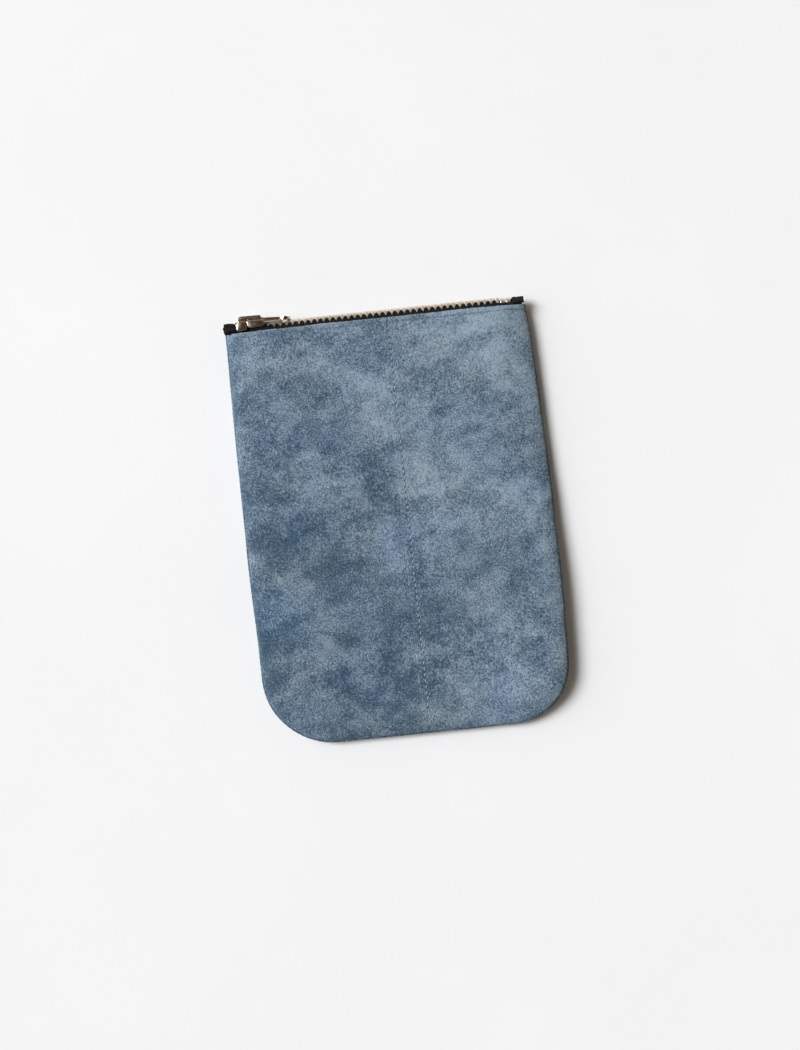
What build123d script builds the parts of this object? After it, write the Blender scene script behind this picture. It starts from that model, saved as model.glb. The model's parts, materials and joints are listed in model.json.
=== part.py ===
"""A flat zippered pouch in suede, lying on its back.

The front is two suede panels joined by a pressed and topstitched centre seam, and the back is one panel.
Sides and base are sewn inside out and turned, so a seam allowance lies inside all round. The mouth holds a
metal zip that faces away from the pouch: two woven tapes with a corded edge, two rows of teeth crimped on the
cords, two top stops, a bottom stop, and a self-locking slider with its cap, locking pawl and pull tab.

Frame: millimetres, Z up from the surface it lies on, +Y from the base to the zip, +X from the slider's end
of the closed zip to the bottom stop. The origin is under the middle of the object's box.
"""

import os
from math import cos, radians, sin

from build123d import *

# Pouch
POUCH_WIDTH = 121.0
POUCH_LENGTH = 167.0  # suede, base seam to mouth edge
MOUTH_THICKNESS = 10.5  # outside, back face to front face at the mouth
BASE_THICKNESS = 8.0
LEFT_CORNER = 31.0
RIGHT_CORNER = 25.0
SUEDE = 1.1
EDGE_ROLL = 3.0  # outer radius where a panel turns into the side seam
INNER_ROLL = 1.6
ALLOWANCE_WIDTH = 5.0
ALLOWANCE = 0.7  # thickness of a seam allowance, skived
BACK_SEAM_Z = 4.5
SEAM_GAP = 0.15  # between the two allowances, which only the thread holds together

# Centre seam of the front
CENTRE_SEAM_X = 1.0
CENTRE_ALLOWANCE_WIDTH = 6.0
CENTRE_ALLOWANCE = 0.6
PANEL_GAP = 0.06
TOPSTITCH_OFFSET = 3.0  # from the centre seam

# Thread
STITCH_PITCH = 2.4
STITCH_LENGTH = 1.8
THREAD = 0.45
STITCH_SINK = 0.15
STITCH_RISE = 0.25
MOUTH_STITCH_INSET = 2.0

# Zip
TAPE = 0.5
TAPE_INSIDE = 13.0  # how far the tape runs under the suede
TAPE_BEND = 0.5  # radius where the tape turns from the panel to the chain
TAPE_HALF_WIDTH = 57.6
BEAD_RADIUS = 0.6
BEAD_HEIGHT = 1.75  # of the cord's middle above the chain's middle
TOOTH_PITCH = 2.5
TOOTH_WIDTH = 1.15
TOOTH_TIP_WIDTH = 0.7
TOOTH_DEPTH = 2.2
TOOTH_TIP_DEPTH = 1.4
HEAD_REACH = 0.95
LEG_REACH = 2.6
NIB_RADIUS = 0.4
NIB_HEIGHT = 0.3
FIRST_TOOTH_X = -51.5
FRONT_TEETH = 41
BACK_TEETH = 40
FRONT_TAPE_FOLD = (-60.3, -57.3, 54.2, 60.1)  # left fold from and to, right fold from and to
FOLD_RISE = 3.6  # of a folded tape end beyond the mouth edge
TOP_STOP_X = (-56.8, -54.7)
BOTTOM_STOP_X = (49.5, 53.8)

# Slider, measured from the chain's middle plane and from the slider's own middle
SLIDER_X = -51.2
SLIDER_LENGTH = 11.6
SLIDER_HALF_WIDTH = 3.5
SLIDER_MOUTH_HALF_WIDTH = 4.0
PLATE_INSIDE = 1.2
PLATE_OUTSIDE = 2.1
REAR_BEVEL = 0.45  # how far the outer plate slopes away under the pull tab
CHANNEL_HALF_WIDTH = 2.75
TAPE_SLOT = 0.45
DIAMOND_HALF_WIDTH = 0.75
DIAMOND_LENGTH = 4.5
CAP_TOP = 4.3
CAP_WALL = 0.45
CAP_HALF_WIDTH = 1.3
CAP_HALF_LENGTH = 4.75
POST_LENGTH = 1.0
PIVOT_HEIGHT = 2.75
PIVOT_RADIUS = 0.45
PAWL = 0.25
PAWL_HALF_WIDTH = 0.5
PAWL_HEIGHT = 3.4
PAWL_PRONG_X = 2.0
TAB_DROOP = 3.2  # degrees that the tab leans in to rest over the chain
TAB_THICKNESS = 1.0
TAB_EYE_HALF_WIDTH = 1.45
TAB_HALF_WIDTH = 2.3
TAB_EYE_LENGTH = 5.2
TAB_NECK_HALF_WIDTH = 1.6
TAB_HOLE_X = 14.0
TAB_HOLE_RADIUS = 1.2
TAB_END_RADIUS = 2.5
TAB_RIM = 1.3  # thickness of the rim round the hole

# Places worked out from the sizes above
CHAIN_OFFSET = PLATE_OUTSIDE + 0.4  # the chain's plane beyond the mouth edge
TOTAL_LENGTH = POUCH_LENGTH + CHAIN_OFFSET + CAP_TOP
BASE_Y = -TOTAL_LENGTH / 2
MOUTH_Y = BASE_Y + POUCH_LENGTH
CHAIN_Y = MOUTH_Y + CHAIN_OFFSET
ZIP_Z = MOUTH_THICKNESS / 2
FRONT_SEAM_Z = BACK_SEAM_Z + SEAM_GAP
TAPE_Z = MOUTH_THICKNESS - SUEDE - 0.05 - TAPE / 2
FRONT_SLOPE = (MOUTH_THICKNESS - BASE_THICKNESS) / POUCH_LENGTH
FRONT_FACE = Plane(origin=(0, MOUTH_Y, MOUTH_THICKNESS), x_dir=(1, 0, 0), z_dir=(0, -FRONT_SLOPE, 1))
CHAIN_PLANE = Plane(origin=(0, CHAIN_Y, ZIP_Z), x_dir=(1, 0, 0), z_dir=(0, -1, 0))  # its Y is the frame's Z
MIRROR_TO_BACK = Plane.XY.offset(ZIP_Z)


def pouch_outline(inset, beyond_mouth=0.0):
    """Adds the pouch's plan shape to the open sketch, its sides and base drawn in by inset."""
    length = POUCH_LENGTH - inset + beyond_mouth
    with Locations((0, BASE_Y + inset + length / 2)):
        Rectangle(POUCH_WIDTH - 2 * inset, length)
    fillet(vertices().group_by(Axis.Y)[0].sort_by(Axis.X)[0], LEFT_CORNER - inset)
    fillet(vertices().sort_by(Axis.X)[-2:].sort_by(Axis.Y)[0], RIGHT_CORNER - inset)


def seam_path(inset, height):
    """The line of the side and base seam, from mouth to mouth, as one wire."""
    with BuildSketch(Plane.XY.offset(height)) as plan:
        pouch_outline(inset, beyond_mouth=-1.0)
    return Wire(plan.sketch.edges().sort_by(Axis.Y)[:-1])


def outward(distance):
    """The plane parallel to the zip's face, that far outside the chain. Extruding by a negative amount goes out."""
    return CHAIN_PLANE.offset(-distance)


def save(builder, label):
    """Labels a finished piece and writes its STEP file."""
    builder.part.label = label
    export_step(builder.part, f"parts/{label}.step")


os.makedirs("parts", exist_ok=True)

# ---- Front panels: one hollow half, cut at the centre seam ----

with BuildPart() as front_hollow:
    with BuildSketch(Plane.XY.offset(FRONT_SEAM_Z + ALLOWANCE)):
        pouch_outline(SUEDE, beyond_mouth=5)
    extrude(amount=MOUTH_THICKNESS)
    split(bisect_by=FRONT_FACE.offset(-SUEDE), keep=Keep.BOTTOM)
    fillet(faces().sort_by(Axis.Z)[-1].edges().sort_by(Axis.Y)[:-1], INNER_ROLL / 2)
    with BuildSketch(Plane.XY.offset(FRONT_SEAM_Z)):
        pouch_outline(SUEDE + ALLOWANCE_WIDTH, beyond_mouth=5)
    extrude(amount=ALLOWANCE)

with BuildPart() as front_half:
    with BuildSketch(Plane.XY.offset(FRONT_SEAM_Z)):
        pouch_outline(0)
    extrude(amount=MOUTH_THICKNESS)
    split(bisect_by=FRONT_FACE, keep=Keep.BOTTOM)
    fillet(faces().sort_by(Axis.Z)[-1].edges().sort_by(Axis.Y)[:-1], EDGE_ROLL)
    add(front_hollow.part, mode=Mode.SUBTRACT)

CENTRE_RUN = POUCH_LENGTH - TAPE_INSIDE - SUEDE - ALLOWANCE_WIDTH - 2  # of the centre allowances, along Y
CENTRE_RUN_MIDDLE = -TAPE_INSIDE - 1 - CENTRE_RUN / 2  # from the mouth edge
FOLD = 0.8  # width of suede that turns down at the centre seam


def centre_allowance(side, depth):
    """Adds the folded strip that a front panel turns under at the centre seam, its top at that depth."""
    seam = CENTRE_SEAM_X + side * PANEL_GAP / 2
    fold_x = seam + side * FOLD / 2
    strip_from = min(seam, seam + side * FOLD)
    strip_to = CENTRE_SEAM_X + CENTRE_ALLOWANCE_WIDTH
    with BuildSketch(FRONT_FACE.offset(-depth)) as strip:
        with Locations(((strip_from + strip_to) / 2, CENTRE_RUN_MIDDLE)):
            Rectangle(strip_to - strip_from, CENTRE_RUN)
    extrude(strip.sketch, amount=-CENTRE_ALLOWANCE)
    with BuildSketch(FRONT_FACE.offset(-SUEDE / 2)) as fold:
        with Locations((fold_x, CENTRE_RUN_MIDDLE)):
            Rectangle(FOLD, CENTRE_RUN)
    extrude(fold.sketch, amount=-(depth + CENTRE_ALLOWANCE - SUEDE / 2))


with BuildPart() as front_panel_left:
    add(front_half.part)
    split(bisect_by=Plane.YZ.offset(CENTRE_SEAM_X - PANEL_GAP / 2), keep=Keep.BOTTOM)
    centre_allowance(side=-1, depth=SUEDE + CENTRE_ALLOWANCE + 2 * PANEL_GAP)
save(front_panel_left, "front_panel_left")

with BuildPart() as front_panel_right:
    add(front_half.part)
    split(bisect_by=Plane.YZ.offset(CENTRE_SEAM_X + PANEL_GAP / 2), keep=Keep.TOP)
    centre_allowance(side=1, depth=SUEDE + PANEL_GAP)
save(front_panel_right, "front_panel_right")

# ---- Back panel ----

with BuildPart() as back_hollow:
    with BuildSketch(Plane.XY.offset(SUEDE)):
        pouch_outline(SUEDE, beyond_mouth=5)
    extrude(amount=BACK_SEAM_Z - ALLOWANCE - SUEDE)
    fillet(faces().sort_by(Axis.Z)[0].edges().sort_by(Axis.Y)[:-1], INNER_ROLL)
    with BuildSketch(Plane.XY.offset(SUEDE)):
        pouch_outline(SUEDE + ALLOWANCE_WIDTH, beyond_mouth=5)
    extrude(amount=BACK_SEAM_Z - SUEDE)

with BuildPart() as back_panel:
    with BuildSketch():
        pouch_outline(0)
    extrude(amount=BACK_SEAM_Z)
    fillet(faces().sort_by(Axis.Z)[0].edges().sort_by(Axis.Y)[:-1], EDGE_ROLL)
    add(back_hollow.part, mode=Mode.SUBTRACT)
save(back_panel, "back_panel")

# ---- Thread: the turned seam's two threads, the centre topstitching and the two rows along the mouth ----

SEAM_THREAD_INSET = SUEDE + THREAD
SEAM_THREADS = {
    "seam_thread_front": FRONT_SEAM_Z + ALLOWANCE,
    "seam_thread_back": BACK_SEAM_Z - ALLOWANCE,
}
for label, height in SEAM_THREADS.items():
    run = seam_path(SEAM_THREAD_INSET, height)
    with BuildPart() as seam_thread:
        with BuildSketch(Plane(origin=run @ 0, z_dir=run % 0)):
            Circle(THREAD / 2)
        sweep(path=run)
    save(seam_thread, label)

CENTRE_STITCHES = int((POUCH_LENGTH - EDGE_ROLL - 2 * MOUTH_STITCH_INSET) / STITCH_PITCH)
MOUTH_STITCHES = int((POUCH_WIDTH - 2 * EDGE_ROLL) / STITCH_PITCH)

with BuildPart() as centre_stitching:
    with BuildSketch(FRONT_FACE.offset(-STITCH_SINK)):
        first = -MOUTH_STITCH_INSET - STITCH_PITCH
        middle = first - (CENTRE_STITCHES - 1) * STITCH_PITCH / 2
        with Locations((CENTRE_SEAM_X + TOPSTITCH_OFFSET, middle)):
            with GridLocations(1, STITCH_PITCH, 1, CENTRE_STITCHES):
                SlotOverall(STITCH_LENGTH, THREAD, rotation=90)
    extrude(amount=STITCH_SINK + STITCH_RISE)
save(centre_stitching, "centre_stitching")

with BuildPart() as mouth_stitching_front:
    with BuildSketch(FRONT_FACE.offset(-STITCH_SINK)):
        with Locations((0, -MOUTH_STITCH_INSET)):
            with GridLocations(STITCH_PITCH, 1, MOUTH_STITCHES, 1):
                SlotOverall(STITCH_LENGTH, THREAD)
    extrude(amount=STITCH_SINK + STITCH_RISE)
save(mouth_stitching_front, "mouth_stitching_front")

with BuildPart() as mouth_stitching_back:
    with BuildSketch():
        with Locations((0, MOUTH_Y - MOUTH_STITCH_INSET)):
            with GridLocations(STITCH_PITCH, 1, MOUTH_STITCHES, 1):
                SlotOverall(STITCH_LENGTH, THREAD)
    extrude(amount=STITCH_SINK + STITCH_RISE)
save(mouth_stitching_back, "mouth_stitching_back")

# ---- Zip tapes: flat under the suede, turned down at the mouth, ending in the cord that the teeth grip ----


def tape(slope):
    """Adds the front tape and its two folded ends to the open part. slope is that of the panel over it."""
    with BuildSketch(Plane.YZ.offset(-TAPE_HALF_WIDTH)) as section:
        with BuildLine():
            FilletPolyline(
                (MOUTH_Y - TAPE_INSIDE, TAPE_Z - slope * TAPE_INSIDE),
                (CHAIN_Y, TAPE_Z),
                (CHAIN_Y, ZIP_Z + BEAD_HEIGHT),
                radius=TAPE_BEND,
            )
        trace(line_width=TAPE)
        with Locations((CHAIN_Y, ZIP_Z + BEAD_HEIGHT)):
            Circle(BEAD_RADIUS)
    extrude(section.sketch, amount=2 * TAPE_HALF_WIDTH)
    low, high = ZIP_Z + 0.3, TAPE_Z + TAPE / 2
    left_from, left_to, right_from, right_to = FRONT_TAPE_FOLD
    for start, end in ((left_from, left_to), (right_from, right_to)):
        with Locations(((start + end) / 2, MOUTH_Y + FOLD_RISE / 2 + 0.1, (low + high) / 2)):
            Box(end - start, FOLD_RISE - 0.2, high - low)


with BuildPart() as zipper_tape_front:
    tape(FRONT_SLOPE)
save(zipper_tape_front, "zipper_tape_front")

with BuildPart() as zipper_tape_back:
    tape(0.0)
    mirror(about=MIRROR_TO_BACK, mode=Mode.REPLACE)
save(zipper_tape_back, "zipper_tape_back")

# ---- Teeth: a head with a nib and a hollow, and two legs crimped round the cord ----

with BuildPart() as tooth:
    with BuildSketch(Plane.YZ):
        half, tip = TOOTH_DEPTH / 2, TOOTH_TIP_DEPTH / 2
        with Locations((CHAIN_Y, ZIP_Z)):
            Polygon(
                (-half, -HEAD_REACH),
                (half, -HEAD_REACH),
                (half, HEAD_REACH),
                (tip, LEG_REACH),
                (-tip, LEG_REACH),
                (-half, HEAD_REACH),
                align=None,
            )
        with Locations((CHAIN_Y, ZIP_Z + BEAD_HEIGHT)):
            Circle(BEAD_RADIUS, mode=Mode.SUBTRACT)
        with Locations((CHAIN_Y, ZIP_Z + BEAD_HEIGHT + 1)):
            Rectangle(TAPE, 2, mode=Mode.SUBTRACT)
    extrude(amount=TOOTH_WIDTH / 2, both=True)
    with BuildSketch(CHAIN_PLANE):
        for side in (-1, 1):
            Polygon(
                (side * TOOTH_WIDTH / 2, HEAD_REACH),
                (side * TOOTH_WIDTH, HEAD_REACH),
                (side * TOOTH_WIDTH, LEG_REACH + 0.1),
                (side * TOOTH_TIP_WIDTH / 2, LEG_REACH + 0.1),
                align=None,
            )
    extrude(amount=TOOTH_DEPTH, both=True, mode=Mode.SUBTRACT)
    with Locations(Location((-TOOTH_WIDTH / 2, CHAIN_Y, ZIP_Z), (0, 90, 0))):
        Cylinder(NIB_RADIUS + 0.1, NIB_HEIGHT, align=(Align.CENTER, Align.CENTER, Align.MIN), mode=Mode.SUBTRACT)
    with Locations(Location((TOOTH_WIDTH / 2, CHAIN_Y, ZIP_Z), (0, 90, 0))):
        Cone(NIB_RADIUS, NIB_RADIUS / 2, NIB_HEIGHT, align=(Align.CENTER, Align.CENTER, Align.MIN))

with BuildPart() as zipper_teeth_front:
    for place in range(FRONT_TEETH):
        with Locations((FIRST_TOOTH_X + place * TOOTH_PITCH, 0, 0)):
            add(tooth.part)
save(zipper_teeth_front, "zipper_teeth_front")

with BuildPart() as zipper_teeth_back:
    for place in range(BACK_TEETH):
        with Locations((FIRST_TOOTH_X + (place + 0.5) * TOOTH_PITCH, 0, 0)):
            add(tooth.part)
    mirror(about=MIRROR_TO_BACK, mode=Mode.REPLACE)
save(zipper_teeth_back, "zipper_teeth_back")

# ---- Stops ----

TOP_STOP_HALF_HEIGHT = 0.9
TOP_STOP_DEPTH = 2.2
BOTTOM_STOP_DEPTH = 2.3
STOP_CLEARANCE = 0.1  # of the bottom stop round the front tape; the back tape is clamped


def top_stop():
    """Adds the clamp on the front tape's cord that the slider runs up against."""
    with BuildSketch(Plane.YZ.offset(TOP_STOP_X[0])) as clamp:
        with Locations((CHAIN_Y, ZIP_Z + BEAD_HEIGHT)):
            RectangleRounded(TOP_STOP_DEPTH, 2 * TOP_STOP_HALF_HEIGHT, TOP_STOP_HALF_HEIGHT / 2)
        with Locations((CHAIN_Y, ZIP_Z + BEAD_HEIGHT)):
            Circle(BEAD_RADIUS, mode=Mode.SUBTRACT)
        with Locations((CHAIN_Y, ZIP_Z + BEAD_HEIGHT + 1)):
            Rectangle(TAPE, 2, mode=Mode.SUBTRACT)
    extrude(clamp.sketch, amount=TOP_STOP_X[1] - TOP_STOP_X[0])


with BuildPart() as top_stop_front:
    top_stop()
save(top_stop_front, "top_stop_front")

with BuildPart() as top_stop_back:
    top_stop()
    mirror(about=MIRROR_TO_BACK, mode=Mode.REPLACE)
save(top_stop_back, "top_stop_back")

with BuildPart() as bottom_stop:
    with BuildSketch(Plane.YZ.offset(BOTTOM_STOP_X[0])):
        with Locations((CHAIN_Y, ZIP_Z)):
            RectangleRounded(BOTTOM_STOP_DEPTH, 2 * LEG_REACH, 0.5)
            for side, clearance in ((-1, 0.0), (1, STOP_CLEARANCE)):
                with Locations((0, side * BEAD_HEIGHT)):
                    Circle(BEAD_RADIUS + clearance, mode=Mode.SUBTRACT)
                with Locations((0, side * (BEAD_HEIGHT + 1))):
                    Rectangle(TAPE + 2 * clearance, 2, mode=Mode.SUBTRACT)
    extrude(amount=BOTTOM_STOP_X[1] - BOTTOM_STOP_X[0])
save(bottom_stop, "bottom_stop")

# ---- Slider body: two plates joined by the diamond that parts the rows, flanges, and two posts for the cap ----

MOUTH_END = SLIDER_X - SLIDER_LENGTH / 2  # where the parted rows enter
REAR_END = SLIDER_X + SLIDER_LENGTH / 2
FLANGE_FROM = MOUTH_END + 3.0
DIAMOND_TIP = MOUTH_END + DIAMOND_LENGTH
POSTS_X = (
    SLIDER_X - CAP_HALF_LENGTH + CAP_WALL + POST_LENGTH / 2,
    SLIDER_X + CAP_HALF_LENGTH - CAP_WALL - POST_LENGTH / 2,
)


def plate_outline(mouth_half_width):
    """Adds the slider plate's shape, wide where the rows enter, to the open sketch on the chain's plane."""
    Polygon(
        (MOUTH_END, -mouth_half_width * 0.55),
        (MOUTH_END + 1.6, -mouth_half_width),
        (REAR_END, -SLIDER_HALF_WIDTH),
        (REAR_END, SLIDER_HALF_WIDTH),
        (MOUTH_END + 1.6, mouth_half_width),
        (MOUTH_END, mouth_half_width * 0.55),
        align=None,
    )
    fillet(vertices(), 0.5)


with BuildPart() as slider_body:
    with BuildSketch(CHAIN_PLANE):
        plate_outline(SLIDER_HALF_WIDTH)
    extrude(amount=PLATE_OUTSIDE)
    with BuildSketch(CHAIN_PLANE):
        plate_outline(SLIDER_MOUTH_HALF_WIDTH)
    extrude(amount=-PLATE_OUTSIDE)
    with BuildSketch(Plane.XY.offset(ZIP_Z)):
        top = CHAIN_Y + PLATE_OUTSIDE
        Polygon(
            (SLIDER_X + 1, top),
            (REAR_END + 0.1, top - REAR_BEVEL),
            (REAR_END + 0.1, top + 1),
            (SLIDER_X + 1, top + 1),
            align=None,
        )
    extrude(amount=2 * SLIDER_HALF_WIDTH, both=True, mode=Mode.SUBTRACT)
    with BuildSketch(CHAIN_PLANE):
        Polygon(
            (REAR_END + 1, -CHANNEL_HALF_WIDTH),
            (REAR_END + 1, CHANNEL_HALF_WIDTH),
            (FLANGE_FROM, CHANNEL_HALF_WIDTH),
            (FLANGE_FROM - 0.8, SLIDER_MOUTH_HALF_WIDTH + 1),
            (MOUTH_END - 1, SLIDER_MOUTH_HALF_WIDTH + 1),
            (MOUTH_END - 1, -SLIDER_MOUTH_HALF_WIDTH - 1),
            (FLANGE_FROM - 0.8, -SLIDER_MOUTH_HALF_WIDTH - 1),
            (FLANGE_FROM, -CHANNEL_HALF_WIDTH),
            align=None,
        )
    extrude(amount=PLATE_INSIDE, both=True, mode=Mode.SUBTRACT)
    with Locations((SLIDER_X, CHAIN_Y, ZIP_Z)):
        Box(2 * SLIDER_LENGTH, 2 * TAPE_SLOT, 4 * SLIDER_HALF_WIDTH, mode=Mode.SUBTRACT)
    with BuildSketch(CHAIN_PLANE):
        Polygon(
            (MOUTH_END + 0.1, 0.35),
            (MOUTH_END + 1.2, DIAMOND_HALF_WIDTH),
            (DIAMOND_TIP - 1.2, DIAMOND_HALF_WIDTH * 0.8),
            (DIAMOND_TIP, 0.15),
            (DIAMOND_TIP, -0.15),
            (DIAMOND_TIP - 1.2, -DIAMOND_HALF_WIDTH * 0.8),
            (MOUTH_END + 1.2, -DIAMOND_HALF_WIDTH),
            (MOUTH_END + 0.1, -0.35),
            align=None,
        )
    extrude(amount=PLATE_INSIDE + 0.1, both=True)
    with BuildSketch(outward(PLATE_OUTSIDE)):
        for post_x in POSTS_X:
            with Locations((post_x, 0)):
                Rectangle(POST_LENGTH, 2 * (CAP_HALF_WIDTH - CAP_WALL))
    extrude(amount=-(CAP_TOP - CAP_WALL - PLATE_OUTSIDE))
    with BuildSketch(outward(PLATE_OUTSIDE)):
        with Locations((SLIDER_X + PAWL_PRONG_X, 0)):
            Rectangle(4 * PAWL, 2 * PAWL_HALF_WIDTH + 0.3)
    extrude(amount=PLATE_OUTSIDE - PLATE_INSIDE, mode=Mode.SUBTRACT)
save(slider_body, "slider_body")

# ---- Slider cap: a pressed cover on the posts, notched on both sides for the pull tab's crossbar ----

with BuildPart() as slider_cap:
    with BuildSketch(outward(PLATE_OUTSIDE)):
        with Locations((SLIDER_X, 0)):
            RectangleRounded(2 * CAP_HALF_LENGTH, 2 * CAP_HALF_WIDTH, 0.6)
    extrude(amount=-(CAP_TOP - PLATE_OUTSIDE))
    fillet(faces().sort_by(Axis.Y)[-1].edges(), 0.4)
    with BuildSketch(outward(PLATE_OUTSIDE)):
        with Locations((SLIDER_X, 0)):
            Rectangle(2 * (CAP_HALF_LENGTH - CAP_WALL), 2 * (CAP_HALF_WIDTH - CAP_WALL))
    extrude(amount=-(CAP_TOP - CAP_WALL - PLATE_OUTSIDE), mode=Mode.SUBTRACT)
    with BuildSketch(outward(PLATE_OUTSIDE)):
        with Locations((SLIDER_X, 0)):
            Rectangle(2 * (PIVOT_RADIUS + 0.15), 4 * CAP_HALF_WIDTH)
    extrude(amount=-(PIVOT_HEIGHT + PIVOT_RADIUS + 0.15 - PLATE_OUTSIDE), mode=Mode.SUBTRACT)
save(slider_cap, "slider_cap")

# ---- Locking pawl: a leaf between the posts, over the crossbar, with a prong through the outer plate ----

with BuildPart() as lock_pawl:
    leaf_from = POSTS_X[0] + POST_LENGTH / 2 + 0.05
    leaf_to = POSTS_X[1] - POST_LENGTH / 2 - 0.05
    with BuildSketch(outward(PAWL_HEIGHT)):
        with Locations(((leaf_from + leaf_to) / 2, 0)):
            Rectangle(leaf_to - leaf_from, 2 * PAWL_HALF_WIDTH)
    extrude(amount=-PAWL)
    with BuildSketch(outward(PLATE_INSIDE + 0.05)):
        with Locations((SLIDER_X + PAWL_PRONG_X, 0)):
            Rectangle(PAWL, 2 * PAWL_HALF_WIDTH)
    extrude(amount=-(PAWL_HEIGHT - PLATE_INSIDE))
save(lock_pawl, "lock_pawl")

# ---- Pull tab: an eye over the cap with a crossbar under it, a neck, and a holed end with a raised rim ----

TAB_PLANE = Plane(
    origin=(SLIDER_X, CHAIN_Y + PIVOT_HEIGHT, ZIP_Z),
    x_dir=(cos(radians(TAB_DROOP)), -sin(radians(TAB_DROOP)), 0),
    z_dir=(-sin(radians(TAB_DROOP)), -cos(radians(TAB_DROOP)), 0),
)

with BuildPart() as pull_tab:
    with BuildSketch(TAB_PLANE):
        with Locations(((TAB_EYE_LENGTH + 0.4) / 2, 0)):
            Rectangle(TAB_EYE_LENGTH + 1.6, 2 * TAB_HALF_WIDTH)
        fillet(vertices().sort_by(Axis.X)[-2:], 0.8)
        with Locations(((TAB_EYE_LENGTH + TAB_HOLE_X) / 2, 0)):
            Rectangle(TAB_HOLE_X - TAB_EYE_LENGTH, 2 * TAB_NECK_HALF_WIDTH)
        with Locations((TAB_HOLE_X, 0)):
            Circle(TAB_END_RADIUS)
        with Locations(((TAB_EYE_LENGTH - 1) / 2, 0)):
            Rectangle(TAB_EYE_LENGTH + 1, 2 * TAB_EYE_HALF_WIDTH, mode=Mode.SUBTRACT)
        with Locations((TAB_HOLE_X, 0)):
            Circle(TAB_HOLE_RADIUS, mode=Mode.SUBTRACT)
    extrude(amount=TAB_THICKNESS / 2, both=True)
    fillet(edges().filter_by(Axis.Z).sort_by(Axis.X)[:4], TAB_THICKNESS / 2 - 0.02)
    with BuildSketch(TAB_PLANE):
        with Locations((TAB_HOLE_X, 0)):
            Circle(TAB_HOLE_RADIUS + 0.5)
            Circle(TAB_HOLE_RADIUS, mode=Mode.SUBTRACT)
    extrude(amount=TAB_RIM / 2, both=True)
    with Locations((SLIDER_X, CHAIN_Y + PIVOT_HEIGHT, ZIP_Z)):
        Cylinder(PIVOT_RADIUS, 2 * TAB_EYE_HALF_WIDTH + 0.2)
save(pull_tab, "pull_tab")
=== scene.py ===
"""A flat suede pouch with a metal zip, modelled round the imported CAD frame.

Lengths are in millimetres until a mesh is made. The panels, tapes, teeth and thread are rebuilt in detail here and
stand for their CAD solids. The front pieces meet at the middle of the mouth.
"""

import json
import math

import bmesh
import bpy
import numpy as np
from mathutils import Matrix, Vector, noise

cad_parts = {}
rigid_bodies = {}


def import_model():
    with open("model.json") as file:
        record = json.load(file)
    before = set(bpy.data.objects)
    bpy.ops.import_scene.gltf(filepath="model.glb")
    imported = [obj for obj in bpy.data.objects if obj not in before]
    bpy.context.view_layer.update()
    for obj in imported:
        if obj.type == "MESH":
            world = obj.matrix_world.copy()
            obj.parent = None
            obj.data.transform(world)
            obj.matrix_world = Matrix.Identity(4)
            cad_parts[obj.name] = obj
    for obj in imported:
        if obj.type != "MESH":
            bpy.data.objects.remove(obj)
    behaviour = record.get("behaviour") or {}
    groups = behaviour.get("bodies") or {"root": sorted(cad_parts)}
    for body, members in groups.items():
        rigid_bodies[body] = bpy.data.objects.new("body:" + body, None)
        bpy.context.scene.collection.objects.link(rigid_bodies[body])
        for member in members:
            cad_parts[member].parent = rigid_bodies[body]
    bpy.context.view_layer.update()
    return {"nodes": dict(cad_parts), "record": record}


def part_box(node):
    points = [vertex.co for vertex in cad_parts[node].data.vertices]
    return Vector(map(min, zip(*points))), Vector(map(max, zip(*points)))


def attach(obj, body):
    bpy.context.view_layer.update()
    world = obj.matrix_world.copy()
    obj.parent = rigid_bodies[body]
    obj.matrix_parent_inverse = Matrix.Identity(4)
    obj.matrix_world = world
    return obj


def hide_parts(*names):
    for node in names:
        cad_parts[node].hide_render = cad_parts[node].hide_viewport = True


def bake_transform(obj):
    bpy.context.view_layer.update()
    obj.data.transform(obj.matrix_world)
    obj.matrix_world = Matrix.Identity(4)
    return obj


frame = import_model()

MM = 0.001
RNG = np.random.default_rng(7)

# ------------ sizes read from the frame


def mm_box(node):
    low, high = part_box(node)
    return np.array(low) / MM, np.array(high) / MM


BACK_LOW, BACK_HIGH = mm_box("back_panel")
TEETH_F_LOW, TEETH_F_HIGH = mm_box("zipper_teeth_front")
TEETH_B_LOW, TEETH_B_HIGH = mm_box("zipper_teeth_back")
STOP_LOW, STOP_HIGH = mm_box("bottom_stop")
CENTRE_LOW, CENTRE_HIGH = mm_box("centre_stitching")
SLIDER_LOW, SLIDER_HIGH = mm_box("slider_body")
CAP_LOW, CAP_HIGH = mm_box("slider_cap")
HALF_WIDTH = BACK_HIGH[0]
BASE_Y = BACK_LOW[1]
MOUTH_Y = BACK_HIGH[1]
SEAM_BACK_Z = BACK_HIGH[2]
SEAM_FRONT_Z = mm_box("front_panel_right")[0][2]
CHAIN_Y = (TEETH_F_LOW[1] + TEETH_F_HIGH[1]) / 2
ZIP_Z = (TEETH_F_HIGH[2] + TEETH_B_LOW[2]) / 2
STITCH_X = (CENTRE_LOW[0] + CENTRE_HIGH[0]) / 2
SEAM_X = 1.0  # where the two front pieces meet
CORNER = {-1: 27.5, 1: 22.5}  # the base corners' radii, left and right
MOUTH_ROW_Y = MOUTH_Y - 2.0  # the stitches along the mouth
PITCH = 2.4  # from stitch to stitch
TOOTH_PITCH = 2.5
SUEDE = 1.1  # the suede's thickness
PRESSED = 0.9  # and where the side and base seams press it
ALLOWANCE = 5.0
BAND = 10.0  # width of the band round the edge that follows the outline
MIDDLE = 12.0  # width of the fine columns beside SEAM_X


# ------------ small helpers


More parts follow.
